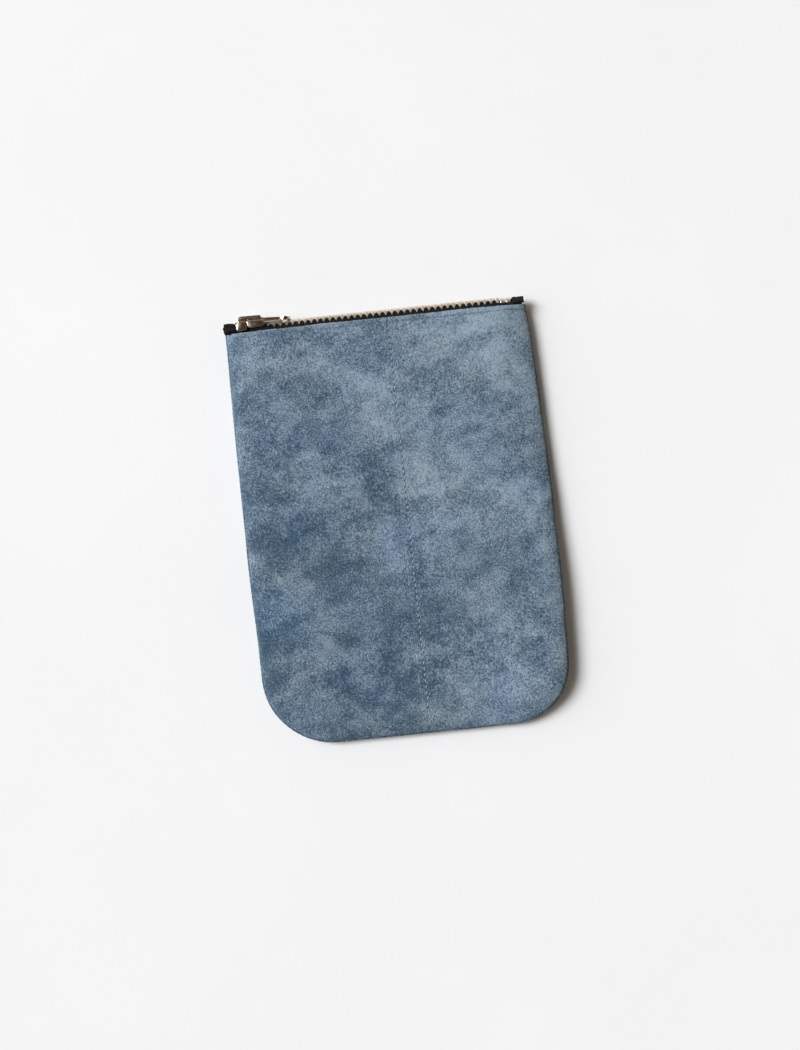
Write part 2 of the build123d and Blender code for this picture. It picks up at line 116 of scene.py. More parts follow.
def fbm(points, scale, octaves, seed):
    """Smooth noise from about -1 to 1 at each point, its features about scale millimetres across."""
    points = np.asarray(points, float).reshape(-1, 3) / scale + seed
    return np.array([noise.fractal(Vector(p), 1.0, 2.0, octaves) for p in points])


def fbm_xy(x, y, scale, octaves, seed):
    flat = np.stack([x.ravel(), y.ravel(), np.zeros(x.size)], 1)
    return fbm(flat, scale, octaves, seed).reshape(x.shape)


def smooth(t):
    t = np.clip(t, 0, 1)
    return t * t * (3 - 2 * t)


def new_object(name, verts, faces, material):
    """A smooth mesh from points in millimetres, which it also keeps as the attribute rest for its material."""
    mesh = bpy.data.meshes.new(name)
    mesh.from_pydata((np.asarray(verts, float) * MM).tolist(), [], [tuple(map(int, f)) for f in faces])
    mesh.update()
    mesh.shade_smooth()
    ob = bpy.data.objects.new(name, mesh)
    bpy.context.scene.collection.objects.link(ob)
    rest = mesh.attributes.new("rest", "FLOAT_VECTOR", "POINT")
    rest.data.foreach_set("vector", np.asarray(verts, np.float32).ravel())
    mesh.materials.append(material)
    return ob


def point_value(ob, name, values):
    layer = ob.data.attributes.new(name, "FLOAT", "POINT")
    layer.data.foreach_set("value", np.asarray(values, np.float32).ravel())


def grid_faces(index, flip=False):
    """Quads over a 2D array of vertex numbers."""
    a, b, c, d = index[:-1, :-1], index[:-1, 1:], index[1:, 1:], index[1:, :-1]
    quads = np.stack([a, b, c, d], -1).reshape(-1, 4)
    return quads[:, ::-1] if flip else quads


def strip_faces(one, two):
    return grid_faces(np.stack([one, two]))


def ring_faces(index):
    """Quads round a tube, each row of the 2D array being one ring."""
    return [tuple(f) for f in grid_faces(np.concatenate([index, index[:, :1]], 1))]


def sheet_faces(index):
    """Both faces and the four edges of a sheet with thickness, from its two layers."""
    edges = (index[:, 0, :], index[:, -1, :], index[:, :, 0], index[:, :, -1])
    return np.concatenate([grid_faces(index[0]), grid_faces(index[1], True)] + [strip_faces(*edge) for edge in edges])


def gathered(parts):
    """Points and faces of many parts as one mesh's."""
    verts, faces, start = [], [], 0
    for v, f in parts:
        verts.append(v)
        faces.extend(tuple(i + start for i in face) for face in f)
        start += len(v)
    return np.concatenate(verts), faces


def arc_length(points):
    """How far along the line each of its points is."""
    steps = np.linalg.norm(np.diff(points, axis=0), axis=1)
    return np.concatenate([[0], np.cumsum(steps)])


def place(ob, slot, node, side):
    """Pieces with no side stay with the back; the others have their place baked into their points."""
    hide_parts(node)
    if side is None:
        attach(ob, "back_shell")
    else:
        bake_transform(ob)
    return ob


# ------------ materials


class Nodes:
    """Short names for building a node tree."""

    def __init__(self, name):
        self.material = bpy.data.materials.new(name)
        self.material.use_nodes = True
        self.tree = self.material.node_tree
        self.tree.nodes.clear()
        self.shader = self.add("ShaderNodeBsdfPrincipled")
        out = self.add("ShaderNodeOutputMaterial")
        self.link(self.shader.outputs[0], out.inputs[0])

    def add(self, kind, inputs=None, **settings):
        node = self.tree.nodes.new(kind)
        for key, value in settings.items():
            setattr(node, key, value)
        for key, value in (inputs or {}).items():
            self.put(value, node.inputs[key])
        return node

    def link(self, a, b):
        self.tree.links.new(a, b)

    def put(self, value, socket):
        if hasattr(value, "links"):
            self.link(value, socket)
        else:
            socket.default_value = value

    def set(self, **values):
        for key, value in values.items():
            self.put(value, self.shader.inputs[key.replace("_", " ")])

    def attribute(self, name, output="Fac"):
        return self.add("ShaderNodeAttribute", attribute_name=name).outputs[output]

    def math(self, operation, a, b=0.0, clamp=False):
        return self.add("ShaderNodeMath", {0: a, 1: b}, operation=operation, use_clamp=clamp).outputs[0]

    def times(self, a, b):
        return self.math("MULTIPLY", a, b)

    def plus(self, a, b, clamp=False):
        return self.math("ADD", a, b, clamp)

    def noise(self, vector, scale, detail, rough, distortion=0.0):
        inputs = {"Vector": vector, "Scale": scale, "Detail": detail, "Roughness": rough, "Distortion": distortion}
        return self.add("ShaderNodeTexNoise", inputs).outputs["Fac"]

    def ramp(self, value, stops):
        node = self.add("ShaderNodeValToRGB", {0: value})
        elements = node.color_ramp.elements
        while len(elements) < len(stops):
            elements.new(0.5)
        for element, (place, colour) in zip(elements, stops):
            element.position = place
            element.color = (*colour, 1) if hasattr(colour, "__len__") else (colour, colour, colour, 1)
        return node.outputs[0]

    def mix(self, factor, a, b, blend="MIX"):
        a, b = ((*c, 1) if isinstance(c, tuple) else c for c in (a, b))
        return self.add("ShaderNodeMix", {0: factor, 6: a, 7: b}, data_type="RGBA", blend_type=blend).outputs[2]

    def stretch(self, vector, scale, rotation=(0, 0, 0)):
        return self.add("ShaderNodeMapping", {"Vector": vector, "Scale": scale, "Rotation": rotation}).outputs[0]

    def bump(self, height, distance, strength, below=None):
        inputs = {"Height": height, "Distance": distance, "Strength": strength}
        if below is not None:
            inputs["Normal"] = below
        return self.add("ShaderNodeBump", inputs).outputs[0]


def scaled(colour, factor):
    return tuple(factor * c for c in colour)


def suede(name, seed, dark=(0.064, 0.114, 0.172), light=(0.228, 0.296, 0.362)):
    """Brushed nap: patches of lighter and darker pile from the mesh, and a fine speckle of fibre ends."""
    n = Nodes(name)
    shift = {0: n.attribute("rest", "Vector"), 1: (seed, seed * 0.7, 0)}
    at = n.add("ShaderNodeVectorMath", shift, operation="ADD").outputs[0]
    soft = n.noise(at, 0.22, 4.0, 0.62, 0.6)
    speck = n.noise(n.stretch(at, (1.0, 0.86, 1.0), (0, 0, 0.5)), 1.5, 2.5, 0.8)
    fine = n.noise(at, 3.6, 2.0, 0.7)
    pores = n.ramp(n.noise(at, 1.05, 1.5, 0.6, 0.4), [(0.60, 0.0), (0.74, 1.0)])
    tone = n.plus(n.attribute("nap"), n.times(n.math("SUBTRACT", soft, 0.5), 0.75))
    speckle = n.plus(n.times(speck, 0.66), n.times(fine, 0.34))
    tone = n.plus(tone, n.times(n.math("SUBTRACT", speckle, 0.5), 3.9), clamp=True)
    middle = tuple((a + b) / 2 for a, b in zip(dark, light))
    stops = [(0.0, scaled(dark, 0.6)), (0.28, dark), (0.52, middle), (0.78, light), (1.0, scaled(light, 1.35))]
    colour = n.ramp(tone, stops)
    # Some patches lean to violet, others to a greyer green-blue
    hue = n.ramp(n.attribute("hue"), [(0.0, (0.94, 0.975, 1.05)), (0.5, (1.0, 1.0, 1.0)), (1.0, (1.03, 1.0, 0.965))])
    colour = n.mix(0.9, colour, hue, "MULTIPLY")
    colour = n.mix(n.times(pores, 0.45), colour, scaled(dark, 0.5))
    # Paler where the mouth is cut, and darker in the needle holes: painted shade
    colour = n.mix(n.times(n.attribute("raw"), 0.7), colour, (0.34, 0.39, 0.43))
    colour = n.mix(n.times(n.attribute("hole"), 0.75), colour, (0.030, 0.048, 0.068))
    n.set(Base_Color=colour, Roughness=0.95, Specular_IOR_Level=0.12)
    n.set(Sheen_Weight=0.16, Sheen_Roughness=0.5, Sheen_Tint=(0.75, 0.85, 1.0, 1))
    low = n.bump(speck, 0.00035, 1.0)
    n.set(Normal=n.bump(fine, 0.00018, 0.9, low))
    return n.material


def thread(name, colour):
    """Two plies twisted round each other, with shade painted dark in the grooves where they meet."""
    n = Nodes(name)
    stripe = n.math("SINE", n.times(n.attribute("ply"), 2 * math.pi))
    shade = n.plus(n.times(stripe, 0.5), 0.5)
    # Painted shade: the colour darkens in the grooves between the plies
    n.set(Base_Color=n.mix(shade, scaled(colour, 0.55), colour), Roughness=0.6, Sheen_Weight=0.1)
    n.set(Normal=n.bump(shade, 0.00005, 0.8))
    return n.material


def woven(name):
    """Black herringbone tape."""
    n = Nodes(name)
    rest = n.attribute("rest", "Vector")
    along = n.add("ShaderNodeSeparateXYZ", {0: rest}).outputs["X"]
    across = n.attribute("across")
    # Diagonal twill ribs that change direction every 2 mm across the tape
    fold = n.math("PINGPONG", across, 2.0)
    rib = n.math("SINE", n.times(n.plus(fold, along), 2 * math.pi / 0.55))
    warp = n.math("SINE", n.times(across, 2 * math.pi / 0.34))
    height = n.plus(n.times(rib, 0.35), n.times(warp, 0.15))
    height = n.plus(height, 0.5)
    fluff = n.noise(rest, 3.0, 3.0, 0.7)
    # The raised ribs are painted lighter and the low ones darker, painted highlight and shade of the weave, with
    # fluff at random
    lift = n.math("MULTIPLY", n.plus(height, fluff), 0.5, clamp=True)
    stops = [(0.25, (0.0015, 0.0015, 0.002)), (0.6, (0.005, 0.005, 0.0065)), (0.95, (0.018, 0.018, 0.021))]
    n.set(Base_Color=n.ramp(lift, stops), Roughness=0.85, Specular_IOR_Level=0.2, Sheen_Weight=0.02)
    n.set(Normal=n.bump(height, 0.00012, 0.9))
    return n.material


def metal(name, colour, rough):
    """Plated metal with fine wear: darker, duller patches and faint scratches."""
    n = Nodes(name)
    coords = n.add("ShaderNodeTexCoord").outputs["Object"]
    cloud = n.noise(coords, 420, 3.0, 0.6)
    grain = n.noise(n.stretch(coords, (1.0, 6.0, 6.0)), 1500, 2.0, 0.6)
    tone = n.ramp(cloud, [(0.3, scaled(colour, 0.78)), (0.7, colour)])
    n.set(Base_Color=tone, Metallic=1.0)
    n.set(Roughness=n.plus(n.times(cloud, 0.16), rough - 0.05))
    n.set(Normal=n.bump(grain, 0.00002, 0.35))
    return n.material


SUEDE_LEFT = suede("suede_left_nap", 0.0)
SUEDE_RIGHT = suede("suede_right_nap", 37.0, dark=(0.067, 0.117, 0.174), light=(0.232, 0.300, 0.364))
SUEDE_BACK = suede("suede_back_nap", 91.0, dark=(0.060, 0.106, 0.159), light=(0.208, 0.271, 0.331))
THREAD = thread("thread_blue", (0.40, 0.51, 0.63))
# The mouth rows' thread is a darker copy of the blue thread: painted shade for stitches sunk in the suede beside the
# zip
THREAD_MOUTH_SHADED = thread("thread_slate", (0.14, 0.20, 0.27))
TAPE = woven("tape_black")
TEETH_METAL = metal("teeth_nickel", (0.93, 0.85, 0.74), 0.28)
SLIDER_METAL = metal("slider_nickel", (0.72, 0.60, 0.50), 0.13)


# ------------ suede panels


def brushed(x, y, seed):
    """How light the pile is, from 0 to 1: brushed in patches, blots and slanting strokes, and lighter towards the
    right and the top.
    """
    bend_x = x + 7 * fbm_xy(x, y, 19, 2, seed + 31)
    bend_y = y + 7 * fbm_xy(x, y, 19, 2, seed + 47)
    patches = np.tanh(2.2 * fbm_xy(bend_x, bend_y, 30, 2, seed))
    blots = np.tanh(2.6 * fbm_xy(bend_x, bend_y * 1.3, 13, 3, seed + 11))
    slant = math.radians(24)
    along, over = x * math.cos(slant) + y * math.sin(slant), y * math.cos(slant) - x * math.sin(slant)
    strokes = np.tanh(2.0 * fbm_xy(along * 0.45, over * 1.5, 9, 3, seed + 5))
    return np.clip(0.51 + 0.16 * patches + 0.12 * blots + 0.11 * strokes + 0.0019 * x + 0.0014 * y, 0, 1)


def edge_distance(x, y, grow=0.0):
    """Distance in from the side and base seams of an outline that is larger by grow."""
    half_width, base_y = HALF_WIDTH + grow, BASE_Y - grow
    d = np.minimum(half_width - np.abs(x), y - base_y)
    for side, radius in CORNER.items():
        r = radius + grow
        cx, cy = side * (half_width - r), base_y + r
        beyond = (side * (x - cx) > 0) & (y < cy)
        d = np.where(beyond, r - np.hypot(x - cx, y - cy), d)
    return d


def rise(d, reach, p=2.2, q=2.2):
    """From 0 at the seam, straight up, over to 1 at reach."""
    u = np.clip(d / reach, 0, 1)
    return np.power(np.clip(1 - np.power(1 - u, p), 0, 1), 1 / q)


# Distances of the first rows down from the mouth, and of the columns out from SEAM_X
MOUTH_ROWS = [0, 0.12, 0.35, 0.7, 1.05, 1.35, 1.6, 1.8, 2.0, 2.2, 2.4, 2.7, 3.1, 3.6, 4.2, 4.8]
SEAM_COLUMNS = [0, 0.08, 0.22, 0.45, 0.75, 1.1, 1.5, 1.9, 2.2, 2.45, 2.65, 2.83, 3.0, 3.17, 3.35, 3.55, 3.8, 4.1, 4.5,
                5, 5.5, 6, 6.6, 7.2, 8, 8.8, 9.6, 10.4, 11.2, 12]
STEP = 0.8
PROFILE = 14  # points on the turned edge
FLANGE = 4  # and on the allowance inside it
HEIGHT_AT_BASE, HEIGHT_GAIN = 8.1, 1.65  # of the front's outer face, away from its seams


def front_full(y):
    """Height of the front's outer face, which rises towards the mouth."""
    return HEIGHT_AT_BASE + HEIGHT_GAIN * np.clip((y - BASE_Y) / (MOUTH_Y - BASE_Y), 0, 1)


def undulate(x, y, d):
    """The front's soft waves, none of them at its seams."""
    soft = 0.42 * fbm_xy(x, y, 42, 2, 3.0) + 0.13 * fbm_xy(x, y, 13, 2, 12.0)
    return soft * smooth((d - 1.0) / 9.0)


def stitch_dips(x, y, front):
    """How deep a stitch row draws the suede in, and how much shade is painted into its needle holes."""
    dip = np.zeros_like(x)
    dark = np.zeros_like(x)
    if front:
        hole = np.cos(math.pi * (y - (MOUTH_ROW_Y - PITCH / 2)) / PITCH) ** 2
        near = np.exp(-(((x - STITCH_X) / 0.32) ** 2))
        dip += near * (0.08 + 0.26 * hole**3)
        # The dark value is painted shade in the needle holes
        dark = np.maximum(dark, near * hole**4)
    hole = np.cos(math.pi * (x - PITCH / 2) / PITCH) ** 2
    near = np.exp(-(((y - MOUTH_ROW_Y) / 0.35) ** 2))
    dip += near * (0.08 + 0.14 * hole**3)
    dark = np.maximum(dark, near * hole**6)
    return dip, dark


def outer_z(x, y, d, front):
    """Height of the outer suede face."""
    if front:
        z = SEAM_FRONT_Z + (front_full(y) - SEAM_FRONT_Z) * rise(d, 22) + undulate(x, y, d)
        # A groove where the two pieces meet, and a low ridge over the edge that is turned under
        off = x - SEAM_X
        fold = np.clip(1 - np.abs(off) / 0.4, 0, 1)
        z -= 0.09 * (1 - np.sqrt(np.clip(1 - fold**2, 0, 1)))
        z += 0.20 * smooth((off + 0.6) / 2.0) * (1 - smooth((off - 4.5) / 3.0)) * smooth((d - 1) / 4)
        dip, _ = stitch_dips(x, y, True)
        return z - dip
    # The back lies on the floor, and lifts off it a little towards the mouth
    z = SEAM_BACK_Z * (1 - rise(d, 9))
    near_mouth = smooth((y - (MOUTH_Y - 14)) / 14)
    lift = 0.12 * (1 + fbm_xy(x, y, 24, 2, 21)) * smooth((d - 3) / 8)
    z = z + near_mouth * 0.75 * smooth(d / 6) + lift * 0.5
    dip, _ = stitch_dips(x, y, False)
    return np.maximum(z + dip, 0.0)


def inner_z(x, y, d, front):
    """Height of the inner suede face."""
    sign = 1 if front else -1
    root = (SEAM_FRONT_Z if front else SEAM_BACK_Z) + sign * PRESSED
    share = rise(d - SUEDE, BAND - SUEDE, 2.6, 2.0)
    return root + (outer_z(x, y, d, front) - sign * SUEDE - root) * share


def side_rows(base, radius):
    """Heights of the rows from the mouth down to where the corner starts to turn."""
    down = MOUTH_ROWS + list(np.arange(5.6, MOUTH_Y - base - radius - 0.3, STEP))
    return MOUTH_Y - np.array(down)


def half_panel(side, front, grow=0.0):
    """One half of a panel, as points, faces and the vertex numbers along its middle edge, outer face first."""
    width, base = HALF_WIDTH + grow, BASE_Y - grow
    radius = CORNER[side] + grow
    sign = 1 if front else -1
    seam_z = SEAM_FRONT_Z if front else SEAM_BACK_Z

    # Rows down the panel: both halves have as many, and the same heights along their shared middle edge
    middle_radius = CORNER[-1] + grow
    middle_side = side_rows(base, middle_radius)
    side_y = side_rows(base, radius)
    rows = len(middle_side) + int(middle_radius * math.pi / 2 / STEP)
    turn = np.linspace(0, math.pi / 2, rows - len(side_y))
    middle_turn = np.linspace(0, math.pi / 2, rows - len(middle_side))
    middle_y = np.concatenate([middle_side, base + middle_radius - (middle_radius - BAND) * np.sin(middle_turn)])
    fine = np.array(SEAM_COLUMNS[::-1])
    corner_x = side * (width - radius)
    coarse_n = int((HALF_WIDTH - BAND - abs(SEAM_X) - MIDDLE) / STEP)
    fraction = np.linspace(0, 1, coarse_n + 1)[:-1]
    middle_x = SEAM_X + side * MIDDLE
    base_x = np.concatenate([corner_x + fraction * (middle_x - corner_x), SEAM_X + side * fine])
    columns = len(base_x)

    # Every station of the edge band: a point on the outline, and the way in from it
    px = np.concatenate([np.full(len(side_y), side * width), corner_x + side * radius * np.cos(turn), base_x[1:]])
    py = np.concatenate([side_y, base + radius - radius * np.sin(turn), np.full(columns - 1, base)])
    ix = np.concatenate([np.full(len(side_y), -side), -side * np.cos(turn), np.zeros(columns - 1)])
    iy = np.concatenate([np.zeros(len(side_y)), np.sin(turn), np.ones(columns - 1)])
    stations = len(px)
    run = np.concatenate([[0], np.cumsum(np.hypot(np.diff(px), np.diff(py)))])
    wander = 0.28 * fbm(np.stack([px, py, np.zeros(stations)], 1), 30, 2, 2.0)
    # The sides swell a little between the mouth and the corners
    low = np.clip((MOUTH_Y - py) / (MOUTH_Y - base), 0, 1)
    if side < 0:
        swell = 1.2 * np.sin(math.pi * low**0.8) + 0.7 * np.exp(-low / 0.1)
    else:
        swell = 1.9 * np.sin(math.pi * low**1.25) - 1.2 * np.exp(-low / 0.07)
    wander = wander + swell * np.abs(ix)

    k = np.arange(PROFILE + 1) / PROFILE
    crowding = (1 - k) ** 2.3
    outer_d = BAND * crowding
    inner_d = SUEDE + (BAND - SUEDE) * crowding
    flange_d = 0.4 + (ALLOWANCE - 0.4) * np.arange(1, FLANGE + 1) / FLANGE
    half = PROFILE + 1 + FLANGE
    ring = 2 * half

    verts = []
    band = np.zeros((stations, ring), int)
    d_all = np.concatenate([outer_d, flange_d, flange_d[::-1], inner_d[::-1]])
    for r in range(ring):
        d = d_all[r]
        fade = smooth((BAND - d) / 6)
        x = px + ix * d - ix * wander * fade
        y = py + iy * d - iy * wander * fade
        if r <= PROFILE:
            z = outer_z(x, y, d, front)
            height = np.abs(z - seam_z)
            tuck = 0.38 * np.clip(1 - height / 1.1, 0, 1) ** 2
            pucker = 0.13 * (0.5 + 0.5 * np.cos(2 * math.pi * (run[-1] - run) / PITCH))
            pucker = pucker * np.clip(1 - height / 1.8, 0, 1)
            x = x + ix * (tuck + pucker) * fade
            y = y + iy * (tuck + pucker) * fade
        elif r < half:
            z = np.full(stations, seam_z)
        elif r < half + FLANGE:
            z = np.full(stations, seam_z + sign * PRESSED)
        else:
            z = inner_z(x, y, d, front)
        band[:, r] = len(verts) + np.arange(stations)
        verts.extend(np.stack([x, y, z], 1))

    # The rest of the panel, inside the band: rows down from the mouth, columns in to the middle
    row_y = np.concatenate([side_y, base + radius - (radius - BAND) * np.sin(turn)])
    turn_x = corner_x + side * (radius - BAND) * np.cos(turn)
    row_x = np.concatenate([np.full(len(side_y), side * (width - BAND)), turn_x])
    gx = np.tile(base_x, (rows, 1))
    gx[:, : len(fraction)] = row_x[:, None] + fraction * (middle_x - row_x[:, None])
    share = (gx - row_x[:, None]) / (SEAM_X - row_x[:, None])
    gy = row_y[:, None] + (middle_y - row_y)[:, None] * share
    gd = np.maximum(edge_distance(gx, gy, grow), BAND)
    faces = []
    sheets = []
    for inner in (False, True):
        z = outer_z(gx, gy, gd, front)
        if inner:
            z = z - sign * SUEDE
        index = len(verts) + np.arange(rows * columns).reshape(rows, columns)
        verts.extend(np.stack([gx.ravel(), gy.ravel(), z.ravel()], 1))
        r = ring - 1 if inner else 0
        index[:, 0] = band[:rows, r]
        index[-1, :] = band[rows - 1 :, r]
        faces.append(grid_faces(index))
        sheets.append(index)
    faces.append(grid_faces(band))
    for end in (0, -1):
        faces.append(strip_faces(band[end, :half], band[end, ring : half - 1 : -1]))
    top, under = sheets
    faces.append(strip_faces(top[0], under[0]))
    verts = np.array(verts)

    # A raw cut edge at the mouth, slightly ragged
    edge = np.abs(verts[:, 1] - MOUTH_Y) < 0.5
    rag = 0.16 * fbm(verts[edge] * [1, 0, 0.2], 1.1, 2, 6.0) + 0.22 * fbm(verts[edge] * [1, 0, 0], 14, 2, 3.0)
    verts[edge, 1] += rag * (1 - (MOUTH_Y - verts[edge, 1]) / 0.5)
    outer = np.concatenate([top[:, -1], band[-1, 1:half]])
    inner = np.concatenate([under[:, -1], band[-1, ring - 2 : half - 1 : -1]])
    return verts, np.concatenate(faces), (outer, inner)


def finish_mesh(ob, merge=0.00001):
    """Welds doubled points, drops the unused ones and turns all faces outwards."""
    bm = bmesh.new()
    bm.from_mesh(ob.data)
    loose = [v for v in bm.verts if not v.link_faces]
    bmesh.ops.delete(bm, geom=loose, context="VERTS")
    bmesh.ops.remove_doubles(bm, verts=bm.verts, dist=merge)
    bmesh.ops.recalc_face_normals(bm, faces=bm.faces)
    bm.to_mesh(ob.data)
    bm.free()
    ob.data.shade_smooth()


def colour_panel(ob, front):
    """Gives the suede material its patches, the painted shade in its needle holes, and its cut edge."""
    seed = 11.0 if front else 71.0
    rest = np.zeros(len(ob.data.vertices) * 3, np.float32)
    ob.data.attributes["rest"].data.foreach_get("vector", rest)
    x, y, z = rest.reshape(-1, 3).astype(float).T
    point_value(ob, "nap", brushed(x, y, seed))
    point_value(ob, "hue", np.clip(0.5 + 0.9 * fbm_xy(x, y, 24, 3, seed + 63), 0, 1))
    # Painted shade in the needle holes, on the outer faces only
    _, dark = stitch_dips(x, y, front)
    outside = z > SEAM_FRONT_Z + 1 if front else z < SEAM_BACK_Z - 1
    point_value(ob, "hole", dark * outside)
    point_value(ob, "raw", np.exp(-np.clip(MOUTH_Y - y, 0, 10) / 0.22))


def front_panel(side, label, material):
    verts, faces, (outer, inner) = half_panel(side, True)
    faces = np.concatenate([faces, strip_faces(outer, inner)])
    gap = 0.004  # keeps the two pieces apart where they meet
    near = np.abs(verts[:, 0] - SEAM_X) < gap
    verts[near, 0] = SEAM_X + side * gap
    ob = new_object(f"suede_front_{label}", verts, faces, material)
    finish_mesh(ob)
    colour_panel(ob, True)
    return place(ob, f"suede_{label}", f"front_panel_{label}", side)


def back_panel():
    """Both halves welded at SEAM_X, a little larger than the front, without the faces that would lie inside."""
    left = half_panel(-1, False, grow=0.7)
    right = half_panel(1, False, grow=0.7)
    verts = np.concatenate([left[0], right[0]])
    faces = np.concatenate([left[1], right[1] + len(left[0])])
    in_cut = np.all(np.abs(verts[faces, 0] - SEAM_X) < 1e-4, axis=1)
    ob = new_object("suede_back", verts, faces[~in_cut], SUEDE_BACK)
    finish_mesh(ob, merge=0.000004)
    colour_panel(ob, False)
    return place(ob, "suede_back", "back_panel", None)


def seam_allowance():
    """The left half's edge, turned under the right half and held by the topstitching."""
    ys = np.arange(MOUTH_Y - 0.8, BASE_Y + 6.5, -1.0)
    xs = SEAM_X + np.array([0.12, 0.5, 1.2, 2.0, 3.0, 4.0, 5.0, 5.7, 6.0])
    gx, gy = np.meshgrid(xs, ys)
    sag = 0.05 + 0.12 * smooth((gx - SEAM_X - 3.5) / 2.5) * (1 + 0.8 * fbm_xy(gx, gy, 12, 2, 17))
    top = inner_z(gx, gy, edge_distance(gx, gy), True) - sag
    verts = np.concatenate([np.stack([gx, gy, z], -1).reshape(-1, 3) for z in (top, top - SUEDE)])
    index = np.arange(len(verts)).reshape(2, *gx.shape)
    ob = new_object("suede_front_left_allowance", verts, sheet_faces(index), SUEDE_LEFT)
    finish_mesh(ob)
    colour_panel(ob, True)
    return place(ob, "suede_left", "front_panel_left", 1)


front_left = front_panel(-1, "left", SUEDE_LEFT)
front_right = front_panel(1, "right", SUEDE_RIGHT)
seam_strip = seam_allowance()
back = back_panel()


# ------------ thread


TUBE_SIDES = 8
TWIST = 1.3  # length of one turn of the plies


def stitch_tube(points, radius):
    """A closed tube along points, with a ply number that winds round it."""
    tangents = np.gradient(points, axis=0)
    tangents /= np.linalg.norm(tangents, axis=1)[:, None]
    across = np.cross(tangents, [0.0, 0.0, 1.0])
    across /= np.linalg.norm(across, axis=1)[:, None]
    over = np.cross(across, tangents)
    run = arc_length(points)
    verts, ply = [], []
    taper = np.ones(len(points))
    taper[0] = taper[-1] = 0.55
    for a in np.arange(TUBE_SIDES) / TUBE_SIDES * 2 * math.pi:
        lobe = 1 + 0.10 * np.cos(2 * (a - run * 2 * math.pi / TWIST))
        verts.append(points + (radius * taper * lobe)[:, None] * (math.cos(a) * across + math.sin(a) * over))
        ply.append(2 * (a / (2 * math.pi)) - run / (TWIST / 2))
    index = np.arange(TUBE_SIDES * len(points)).reshape(TUBE_SIDES, -1)
    faces = [tuple(f) for f in grid_faces(np.concatenate([index, index[:1]]))]
    faces += [tuple(index[::-1, 0]), tuple(index[:, -1])]
    return np.concatenate(verts), faces, np.concatenate(ply)


def stitches(name, paths, node, side, radius=0.17, material=THREAD):
    """Joins many little tubes into one piece of thread."""
    tubes = [stitch_tube(path, radius) for path in paths]
    ob = new_object(name, *gathered([tube[:2] for tube in tubes]), material)
    point_value(ob, "ply", np.concatenate([tube[2] for tube in tubes]))
    place(ob, "thread", node, side)


def surface_z(x, y, front):
    """Height of the suede under a stitch, without the dip that the stitch makes."""
    dip, _ = stitch_dips(x, y, front)
    return outer_z(x, y, edge_distance(x, y), front) + (dip if front else -dip)


def arch(length, round_over=3.2):
    """Along and up for one stitch: out of its hole, over, and back in."""
    t = np.linspace(-1, 1, 9)
    return t * length / 2, 0.30 * (1 - np.abs(t) ** round_over) - 0.24


def centre_row():
    """The topstitching down the front, which stands a little proud."""
    paths = []
    y = MOUTH_ROW_Y - PITCH
    while y > BASE_Y + 4.2:
        along, up = arch(1.3, 1.9)
        up = up + 0.1
        x = STITCH_X + 0.05 * RNG.normal() + along * 0.02
        ys = y + along + 0.04 * RNG.normal()
        z = surface_z(np.full(len(along), STITCH_X), ys, True) + up + 0.02 * RNG.normal()
        paths.append(np.stack([x, ys, z], 1))
        y -= PITCH
    return paths


def mouth_row(front, xs):
    """Stitches sunk into the suede beside the zip."""
    paths = []
    for x in xs:
        along, up = arch(1.9, 2.6)
        y = np.full(len(along), MOUTH_ROW_Y + 0.05 * RNG.normal())
        z = surface_z(x + along, y, front) + (up - 0.12 if front else 0.14 - up)
        paths.append(np.stack([x + along, y + 0.03 * RNG.normal(), z], 1))
    return paths


stitches("stitches_centre", centre_row(), "centre_stitching", 1, radius=0.21)
mouth_x = np.arange(-24, 25) * PITCH
for label, side, xs in (("left", -1, mouth_x[mouth_x < SEAM_X - 0.5]), ("right", 1, mouth_x[mouth_x > SEAM_X])):
    row = mouth_row(True, xs)
    stitches(f"stitches_mouth_{label}", row, "mouth_stitching_front", side, material=THREAD_MOUTH_SHADED)
row = mouth_row(False, mouth_x)
stitches("stitches_mouth_back", row, "mouth_stitching_back", None, material=THREAD_MOUTH_SHADED)


def edge_run(side, inset, height):
    """Points a stitch apart along the side and base seam, with the way along at each."""
    radius = CORNER[side]
    corner_x, corner_y = side * (HALF_WIDTH - radius), BASE_Y + radius
    first_y = MOUTH_Y - 3  # below the zip
    side_length = first_y - corner_y
    turn_radius = radius - inset
    turn_length = turn_radius * math.pi / 2
    total = side_length + turn_length + abs(SEAM_X - corner_x)
    points = []
    for s in np.arange(PITCH / 2, total - 0.2, PITCH):
        if s < side_length:
            at, way = (side * (HALF_WIDTH - inset), first_y - s), (0, -1)
        elif s < side_length + turn_length:
            a = (s - side_length) / turn_radius
            at = (corner_x + side * turn_radius * math.cos(a), corner_y - turn_radius * math.sin(a))
            way = (-side * math.sin(a), -math.cos(a))
        else:
            at, way = (corner_x - side * (s - side_length - turn_length), BASE_Y + inset), (-side, 0)
        points.append((np.array([*at, height]), np.array([*way, 0.0])))
    return points


def allowance_row(side, height, up_sign):
    """The seam's own stitches, inside the pouch."""
    paths = []
    for at, way in edge_run(side, 1.9, height):
        along, up = arch(2.1)
        paths.append(at + along[:, None] * way + np.stack([0 * up, 0 * up, up_sign * (up + 0.05)], 1))
    return paths


for side, label in ((-1, "left"), (1, "right")):
    row = allowance_row(side, SEAM_FRONT_Z + PRESSED, 1)
    stitches(f"seam_stitches_front_{label}", row, "seam_thread_front", side)
row = allowance_row(-1, SEAM_BACK_Z - PRESSED, -1) + allowance_row(1, SEAM_BACK_Z - PRESSED, -1)
stitches("seam_stitches_back", row, "seam_thread_back", None)


# ------------ zip

TILT = math.radians(47)  # how far each row leans when the flat pouch folds the chain like a gable


def tilt_at(x):
    """The chain lies flat inside the slider and folds to a gable past it."""
    x = np.asarray(x, float)
    return TILT * smooth((x - SLIDER_HIGH[0] + 2.5) / 6.5) * (1 - 0.25 * smooth((x - 53) / 4))


